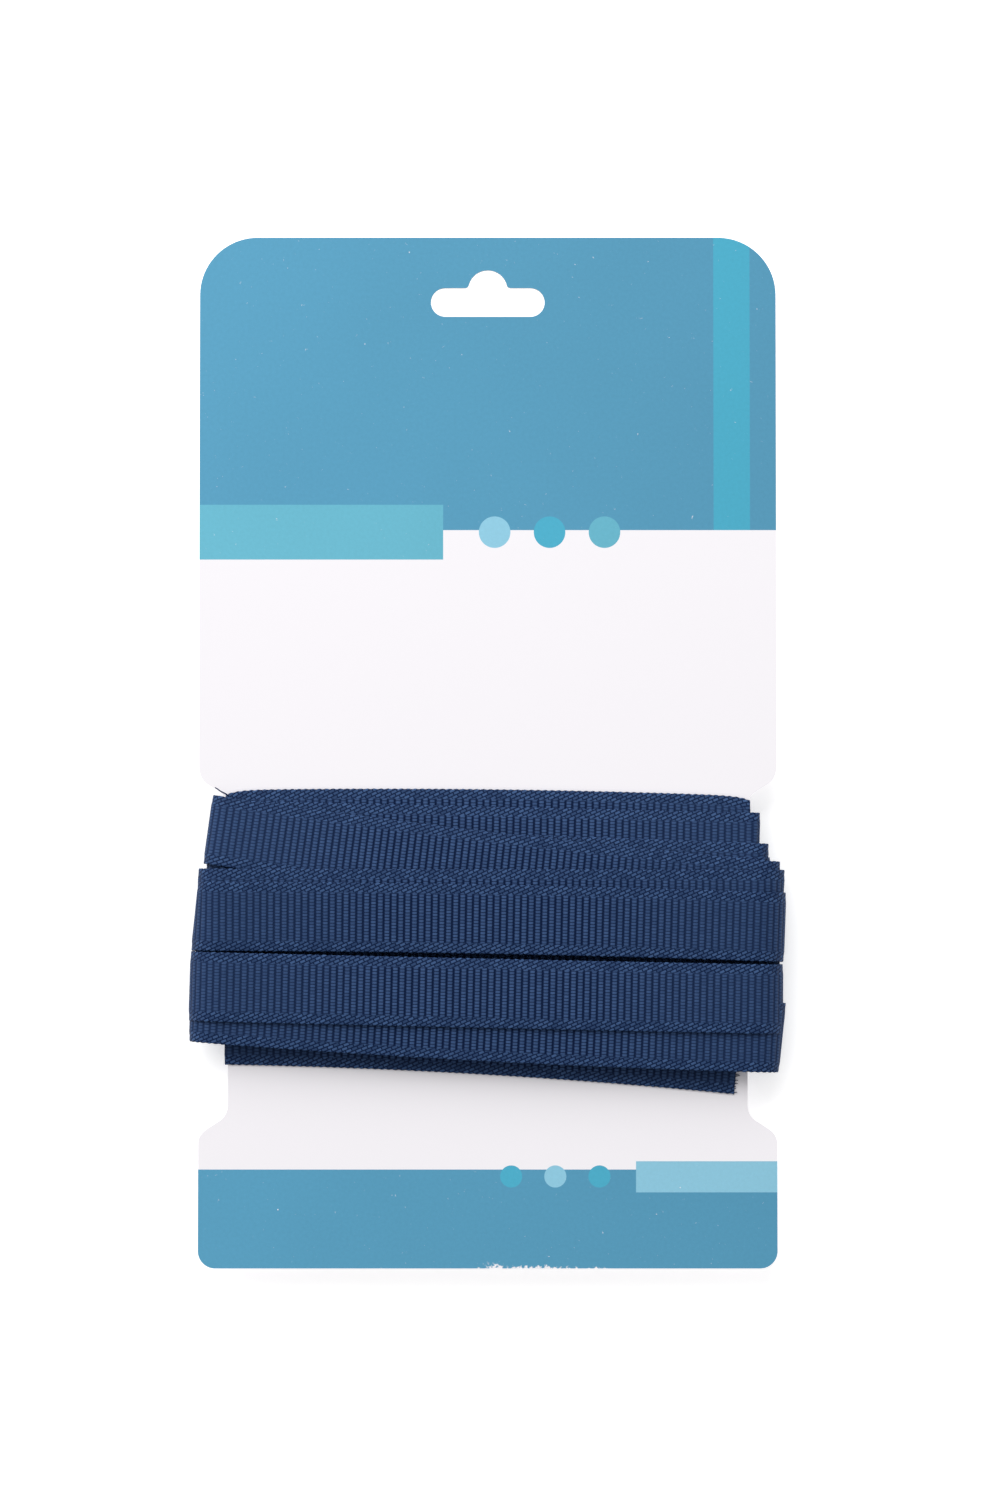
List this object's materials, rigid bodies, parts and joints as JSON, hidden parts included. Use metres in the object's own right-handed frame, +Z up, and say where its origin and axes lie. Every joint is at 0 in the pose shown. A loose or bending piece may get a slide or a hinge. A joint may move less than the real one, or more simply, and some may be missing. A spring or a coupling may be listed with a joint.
{
  "type": "card of grosgrain ribbon",
  "caption": "Flat die-cut card with a hang slot and a cut-in waist, wound with narrow ribbed ribbon that has one loose cut end at the front.",
  "frame": {"origin": "on the surface that the card lies on, under the middle of the card", "axes": "+X across the card to the right as seen from the front, +Y along the card to the hang slot, +Z up out of the card's front"},
  "size_m": [0.0866, 0.15, 0.0084],
  "materials": {
    "board": "satin",
    "ribbon": "matte"
  },
  "bodies": {
    "root": {"card": "board", "ribbon_winding": "ribbon", "ribbon_end": "ribbon"}
  },
  "joints": []
}
